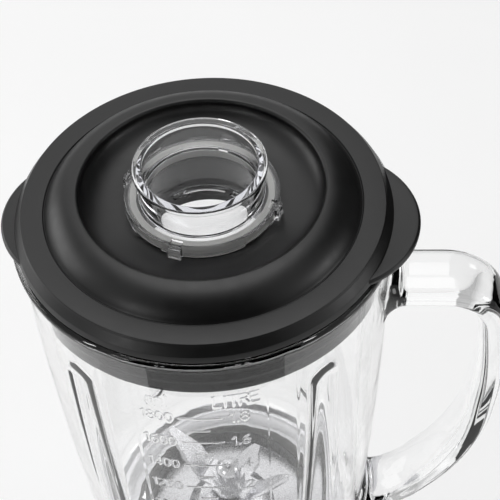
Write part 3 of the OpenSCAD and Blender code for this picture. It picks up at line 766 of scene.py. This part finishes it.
def make_gasket():
    """The ribbed rubber ring round the plug of the lid."""
    foot, ribs, pitch, inner = low("lid_gasket").z, 4, 5, 61.7
    outline = [(inner, foot, 0.3), (inner + 1.1, foot, 0.3)]
    for k in range(ribs):
        z = foot + 0.2 + k * pitch
        outline += [(inner + 1.1, z, 0.2), (64.4, z + 1.0, 0.4), (64.4, z + 2.1, 0.4),
                    (inner + 1.1, z + 3.2, 0.2)]
    outline += [(inner + 1.1, FLANGE_Z - 7.5), (inner, FLANGE_Z - 7.5)]
    gasket = lathe("lid_gasket_ring", soften(outline, 3), MATERIALS["black_rubber"], 192)
    finish_piece(gasket, "lid", "black_rubber", "lid_gasket")


# ---- measuring cap ----


def make_cap():
    """The clear measuring cap: cup, rim, flange with lugs and ramps, bayonet lugs."""
    plastic = MATERIALS["clear_cap"]
    floor = FLANGE_Z - 13
    flange = FLANGE_Z + 5.4
    skirt = FLANGE_Z + 1.4
    ramp = 1.2
    cup, wall, edge = 22.8, 1.9, 28.5
    outline = [(0, floor - 2.2), (cup, floor - 2.2, 1.4), (cup, flange - 1.6, 0.3),
               (edge - 1.6, flange - 1.6, 0.3), (edge - 1.6, skirt), (edge, skirt, 0.2),
               (edge, flange, 0.7), (cup, flange, 0.5), (cup, CAP_TOP - 2.6, 0.4),
               (24.3, CAP_TOP - 1.9, 0.5), (24.3, CAP_TOP, 0.6), (cup - wall, CAP_TOP, 0.5),
               (cup - wall, floor, 1.2), (0, floor)]
    cap = lathe("measuring_cup", soften(outline, 6), plastic, 256 if FINE else 128)
    lugs, recesses = [], []
    for k in range(4):
        turn = CAP_TURN + 90 * k
        lugs.append(block((0, -2.5, skirt - ramp - 0.3), (2.1, 2.5, flange - 0.3),
                          turned(turn, edge - 0.5), 0.25))
        lugs.append(sector(edge - 1.4, edge - 0.2, skirt - ramp, skirt + 1, turn - 12, turn + 52))
        recesses.append(block((0, -2.2, flange - 0.9), (2.2, 2.2, flange + 1),
                              turned(turn, edge - 2.6), 0.2))
    for k in (0, 2):
        lugs.append(block((0, -3, LUG_Z), (2.6, 3, LUG_Z + 2.2),
                          turned(CAP_TURN + 90 * k, cup - 0.5), 0.25))
    for lug in lugs:
        combine(cap, [lug], "UNION")
    combine(cap, recesses, "DIFFERENCE")
    finish_piece(cap, "cap", "clear_cap", "measuring_cap")
    arrow_r = 17.5
    arrow = arc((0, 0), arrow_r, 66, 122, 24)
    tip = arrow[-1]
    head = [(tip[0] + 2.6 * math.cos(math.radians(a)), tip[1] + 2.6 * math.sin(math.radians(a)))
            for a in (4, 62)]
    icons = [arrow, [head[0], tip, head[1]]] + padlock(130, 18.2, True) + padlock(54, 18.2, False)
    marks = ribbon("cap_marks", icons, Matrix.Identity(4), 0.55, 0.4, floor + 0.02, plastic)
    finish_piece(marks, "cap", "clear_cap")


def padlock(azimuth, radius, shut):
    """Strokes of a small padlock whose foot points to the centre."""
    body = [(-1.3, -1.2), (1.3, -1.2), (1.3, 0.8), (-1.3, 0.8), (-1.3, -1.2)]
    shackle = [(-0.8, 0.8)] + arc((0, 1.3), 0.8, 180, 0, 8) + [(0.8, 0.8 if shut else 1.3)]
    turn = math.radians(azimuth - 90)
    c, s = math.cos(turn), math.sin(turn)
    x, y = radius * math.cos(math.radians(azimuth)), radius * math.sin(math.radians(azimuth))
    return [[(x + px * c - py * s, y + px * s + py * c) for px, py in line]
            for line in (body, shackle)]


# ---- blades ----


def make_blades(name, z, bend, wing, turn, node):
    """A pair of blades: a flat root, a curved bend and a wing ground thin along its edges."""
    steel = MATERIALS["stainless"]
    root, bend_r, thick, width = 12.0, 3.0, 1.6, 12.0
    across = [-1, -0.82, -0.4, 0, 0.4, 0.82, 1]
    angle = math.radians(bend)
    sign = math.copysign(1, bend)
    places = [(Vector((s, 0, z + thick / 2)), 0.0, 0.0) for s in np.linspace(6.0, root - 1, 4)]
    for t in np.linspace(0, 1, 7)[1:]:
        a = angle * t
        places.append((Vector((root - 1 + bend_r * math.sin(abs(a)), 0,
                               z + thick / 2 + sign * bend_r * (1 - math.cos(a)))), a, 0.0))
    start = places[-1][0]
    for s in np.linspace(0, wing, 12)[1:]:
        places.append((start + Vector((math.cos(angle), 0, math.sin(angle))) * s, angle, s / wing))
    points, n = [], len(across)
    for where, a, reach in places:
        left = width / 2 * (1 - max(0, reach - 0.5) * 0.9)
        right = width / 2 * (1 - max(0, reach - 0.35) * 1.5)
        up = Vector((-math.sin(a), 0, math.cos(a)))
        for side in (1, -1):
            for k in across[::side]:
                y = k * (left if k > 0 else right)
                t = thick / 2 * min(1, (1.02 - abs(k)) / 0.2) if reach > 0.05 else thick / 2
                points.append(where + up * side * t + Vector((0, y, 0)))
    ring = 2 * n
    faces = [[r * ring + k, r * ring + (k + 1) % ring,
              (r + 1) * ring + (k + 1) % ring, (r + 1) * ring + k]
             for r in range(len(places) - 1) for k in range(ring)]
    faces += [list(range(ring))[::-1], list(range((len(places) - 1) * ring, len(places) * ring))]
    hub = lathe(name, soften([(4, z), (9, z, 0.3), (9, z + thick, 0.3), (4, z + thick)]), steel, 64,
                place=turned(turn))
    wings = []
    for half in (0, 180):
        place = turned(turn + half)
        moved = [tuple(place @ p) for p in points]
        wings.append(mesh_object("wing", moved, faces, None, 30))
    combine(hub, wings, "UNION", 30)
    finish_piece(hub, "blade_rotor", "stainless", node)


# ---- jug's bottom end ----


def make_collar():
    """The screw collar under the jug, with grip grooves."""
    foot = low("jar_collar").z

    def ribbed(azimuth, radius, z):
        groove = np.clip(np.cos(np.radians(24 * (azimuth - 7.5))), 0, 1) ** 2
        inside = (z > foot + 14.5) & (z < foot + 28) & (radius > 56)
        return radius - 1.3 * groove * inside

    side = [(57.9, z) for z in np.linspace(foot + 28.5, foot + 14, 12)]
    lip = [(r, NECK_TOP_Z + 10 * (1 - math.sqrt(1 - min(1, (r - 50) / 10.3) ** 2)) - 0.5)
           for r in range(50, 57)]
    outline = [(52.6, foot, 0.6), (54, 152), (57.4, foot + 13.5, 1.0)] + side[::-1]
    outline += [(57.9, 175.2, 0.6), (57, 176, 0.5)] + lip[::-1]
    outline += [(44.3, 173.5), (44.3, 155.7), (36, 155.7), (36, 153), (47.5, 153), (47.5, 168),
                (50, 168), (50, foot)]
    collar = lathe("collar", soften(outline, 4), MATERIALS["silver_plastic"], 288, ribbed, 40)
    finish_piece(collar, "collar", "silver_plastic", "jar_collar")


# ---- base ----


def make_housing():
    """The hollow motor housing with its knob pod, holes and back vents."""
    plastic = MATERIALS["body_plastic"]
    foot = low("base_housing").z
    skin, wall = BASE_R, 3.0
    outer = soften([(0, foot), (skin - 3, foot, 0.6), (skin - 0.5, foot + 4, 2)]
                   + quarter((skin, foot + 13), (68, DECK_Z - 2), True, 40)[1:-1]
                   + [(68, DECK_Z - 2, 1.2), (66, DECK_Z, 1.0), (0, DECK_Z)])
    inner = soften([(0, foot - 1), (skin - 3 - wall, foot - 1), (skin - wall, foot + 5)]
                   + quarter((skin - wall, foot + 13), (68 - wall, DECK_Z - 3), True, 24)[1:]
                   + [(0, DECK_Z - 3)])
    housing = lathe("housing", outer, plastic, 240)
    pod = lathe("pod", soften([(0, 0), (26, 0), (26, -60 - POD_Y, 2.2), (0, -60 - POD_Y)]), None, 160,
                place=facing_front(0, -60, KNOB_Z))
    combine(housing, [pod], "UNION")
    pod_room = lathe("pod_room", [(0, 0), (23, 0), (23, -53 - POD_Y), (0, -53 - POD_Y)], None, 96,
                     place=facing_front(0, -50, KNOB_Z))
    combine(housing, [lathe("room", inner, None, 160), pod_room], "DIFFERENCE")
    shaft_hole = lathe("hole", [(0, DECK_Z - 10), (13, DECK_Z - 10),
                                (13, DECK_Z + 10), (0, DECK_Z + 10)], None, 64)
    knob_hole = lathe("hole", [(0, -5), (4.7, -5), (4.7, 20), (0, 20)], None, 48,
                      place=facing_front(0, POD_Y + 10, KNOB_Z))
    gland_hole = lathe("hole", [(0, 0), (5.5, 0), (5.5, 20), (0, 20)], None, 48,
                       place=facing_front(0, 100, 21))
    pin_x = (low("interlock_pin").x + high("interlock_pin").x) / 2
    pin_hole = lathe("hole", [(0, DECK_Z - 10), (2.4, DECK_Z - 10),
                              (2.4, DECK_Z + 10), (0, DECK_Z + 10)],
                     None, 32, place=Matrix.Translation((pin_x, 0, 0)))
    vents = [block((70, -1.5, 38), (100, 1.5, 62), turned(90 + 4.5 * k)) for k in range(-4, 5)]
    combine(housing, [shaft_hole, knob_hole, gland_hole, pin_hole] + vents, "DIFFERENCE")
    finish_piece(housing, "base", "body_plastic", "base_housing")


def make_cradle():
    """The silver ring that the jug stands in."""
    top = high("jar_cradle").z
    outline = [(14.5, DECK_Z + 0.02), (65.9, DECK_Z + 0.02, 0.6), (66.3, DECK_Z + 1.5, 0.8),
               (64.5, top - 2, 1.2), (62.5, top, 1.0), (60, top, 1.0), (58.6, top - 1.5, 0.8),
               (54.6, 149.2, 1.0), (54.2, 145.2, 0.3), (27, 145.2, 0.5), (26, 142.5, 0.6),
               (17, 142.5, 0.6), (17, 144, 0.4), (14.5, 144, 0.4)]
    cradle = lathe("cradle", soften(outline), MATERIALS["silver_plastic"], 240)
    pin_x = (low("interlock_pin").x + high("interlock_pin").x) / 2
    hole = lathe("hole", [(0, DECK_Z - 1), (2.4, DECK_Z - 1), (2.4, DECK_Z + 12), (0, DECK_Z + 12)],
                 None, 32, place=Matrix.Translation((pin_x, 0, 0)))
    combine(cradle, [hole], "DIFFERENCE")
    finish_piece(cradle, "base", "silver_plastic", "jar_cradle")


def make_knob():
    """The ribbed control knob and its white pointer."""
    knob_r, length = 17.0, 16.4

    def ribbed(azimuth, radius, z):
        wave = np.clip(np.cos(np.radians(20 * azimuth)), 0, 1) ** 3
        inside = (z > 1.6) & (z < length - 1.0) & (radius > 13)
        return radius - 0.75 * wave * inside

    side = [(knob_r - 1.4 * t, 3 + 11.4 * t) for t in np.linspace(0, 1, 10)]
    outline = [(0, -17), (3, -17, 0.4), (3, 4), (9, 4), (9, 0.05), (knob_r, 0.05, 0.6),
               (knob_r, 1.5)] + side + [(knob_r - 1.7, length - 0.8, 0.7), (knob_r - 3.4, length, 0.8),
                                        (knob_r - 5, length - 0.35, 0.8), (0, length - 0.35)]
    place = facing_front(0, KNOB_Y + 15.6, KNOB_Z)
    knob = lathe("knob", soften(outline, 4), MATERIALS["black_plastic"], 320, ribbed, 40, place)
    groove = block((-0.9, 6, length - 0.8), (0.9, 13.4, length + 1), place)
    combine(knob, [groove], "DIFFERENCE", 40)
    finish_piece(knob, "knob", "black_plastic", "control_knob")
    bar = block((-0.85, 6.05, length - 0.8), (0.85, 13.3, length - 0.05), place, 0.2)
    bar.name = "pointer"
    bar.data.materials.clear()
    bar.data.materials.append(MATERIALS["pointer_white"])
    finish_piece(bar, "knob", "pointer_white", "knob_pointer")


def make_dial():
    """The round plate behind the knob, with its printed numbers."""
    steel = metal("dial_steel", grey(0.5), grey(0.58), 0.3, (0.03, 1, 1), 700)
    plate = lathe("dial", soften([(4.8, 0.01), (24, 0.01), (24, 1, 0.3), (4.8, 1)]), steel, 160,
                  place=facing_front(0, POD_Y, KNOB_Z))
    finish_piece(plate, "base", "stainless", "dial_plate")
    strokes = []
    for text, azimuth in (("P", 130), ("0", 90), ("1", 60), ("2", 30), ("3", 0), ("4", -30)):
        x, y = 20.4 * math.cos(math.radians(azimuth)), 20.4 * math.sin(math.radians(azimuth))
        width = lettering(text, 0, 0, 3.0)[1]
        strokes += lettering(text, x - width / 2, y, 3.0)[0]
    numbers = ribbon("dial_numbers", strokes, facing_front(0, POD_Y, KNOB_Z), 0.42, 0.12, 1.0, PRINT)
    finish_piece(numbers, "base", "stainless")


# ---- studio ----


def make_floor():
    """A plain pale floor."""
    made, shader = material("floor", {"Roughness": 0.9, "Emission Strength": 0.17,
                                      "Emission Color": (1, 1, 1, 1)})
    tint(made, noise(made, 3, 2), shader.inputs["Base Color"], (0.8, 0.8, 0.8), (0.83, 0.83, 0.83))
    half = 6000
    corners = [(-half, -half, 0), (half, -half, 0), (half, half, 0), (-half, half, 0)]
    floor = mesh_object("floor", corners, [(0, 1, 2, 3)], made)


def softbox(name, azimuth, elevation, distance, size, power):
    """A square area lamp that looks at the lid. Distances in metres, power in watts."""
    lamp = bpy.data.lights.new(name, "AREA")
    lamp.shape = "RECTANGLE"
    lamp.size, lamp.size_y = size
    lamp.energy = power
    made = bpy.data.objects.new(name, lamp)
    bpy.context.scene.collection.objects.link(made)
    a, e = math.radians(azimuth), math.radians(elevation)
    away = Vector((math.cos(a) * math.cos(e), math.sin(a) * math.cos(e), math.sin(e)))
    made.location = Vector((0, 0, 0.38)) + away * distance
    made.rotation_mode = "QUATERNION"
    made.rotation_quaternion = away.to_track_quat("Z", "Y")
    return made


def make_lights():
    """A pale surround and five softboxes."""
    world = bpy.data.worlds.new("studio")
    world.use_nodes = True
    world.node_tree.nodes["Background"].inputs["Color"].default_value = (1, 1, 1, 1)
    world.node_tree.nodes["Background"].inputs["Strength"].default_value = 0.5
    bpy.context.scene.world = world
    softbox("top", 95, 76, 1.6, (1.3, 1.1), 9)
    softbox("back", 95, 37, 1.8, (2.4, 1.25), 4.6)
    softbox("left", 165, 12, 1.6, (1.1, 0.9), 6.5)
    softbox("front_left", -128, 15, 1.5, (0.5, 0.4), 1.9)
    softbox("front_right", -7, 12, 1.5, (0.5, 0.4), 2.2)


def hang_flag(name, azimuths, rows):
    """A black cloth round the object, which only shows in reflections."""
    made, shader = material(name, {"Roughness": 1.0})
    tint(made, noise(made, 20, 2), shader.inputs["Base Color"], (0.012,) * 3, (0.02,) * 3)
    turns = [math.radians(a) for a in azimuths]
    points = [(r * math.cos(a), r * math.sin(a), z) for r, z in rows for a in turns]
    n = len(turns)
    faces = [(j * n + i, j * n + i + 1, (j + 1) * n + i + 1, (j + 1) * n + i)
             for j in range(len(rows) - 1) for i in range(n - 1)]
    flag = mesh_object(name, points, faces, made)
    flag.visible_camera = False
    flag.visible_diffuse = False
    flag.visible_transmission = False
    flag.visible_volume_scatter = False
    flag.visible_shadow = False


def make_flags():
    """Cloths that keep the front and the right of the lid dark."""
    far = 1200
    front = [(far * math.cos(math.radians(e)), FLANGE_Z + far * math.sin(math.radians(e)))
             for e in range(-15, 66, 5)]
    hang_flag("front_flag", range(-125, -44, 5), front)
    hang_flag("floor_flag", range(-125, -44, 5), [(310, 5), (362, 5)])
    hang_flag("right_flag", range(10, 71, 5), [(far, 5), (far, 1900)])


def make_camera():
    """A long lens in front of the jug and above it, that looks down on the lid."""
    eye = (0.0435, -0.3558, 0.7533)
    pan, tilt, roll = (math.radians(angle) for angle in (4.4, 41.66, -3.49))
    camera = bpy.data.cameras.new("camera")
    camera.lens = 101.8
    camera.sensor_width = 36
    made = bpy.data.objects.new("camera", camera)
    bpy.context.scene.collection.objects.link(made)
    made.matrix_world = (Matrix.Translation(eye) @ Matrix.Rotation(pan, 4, "Z")
                         @ Matrix.Rotation(tilt, 4, "X") @ Matrix.Rotation(roll, 4, "Z"))
    bpy.context.scene.camera = made


dress_frame()
make_jug()
make_lid()
make_gasket()
make_cap()
make_blades("blades_up", BLADE_Z, UPPER_BEND, 27.2, -28, "upper_blade")
make_blades("blades_down", low("lower_blade").z + 4, LOWER_BEND, 17, 62, "lower_blade")
make_collar()
make_housing()
make_cradle()
make_knob()
make_dial()
make_floor()
make_flags()
make_lights()
make_camera()
bpy.context.scene.view_settings.view_transform = "Standard"
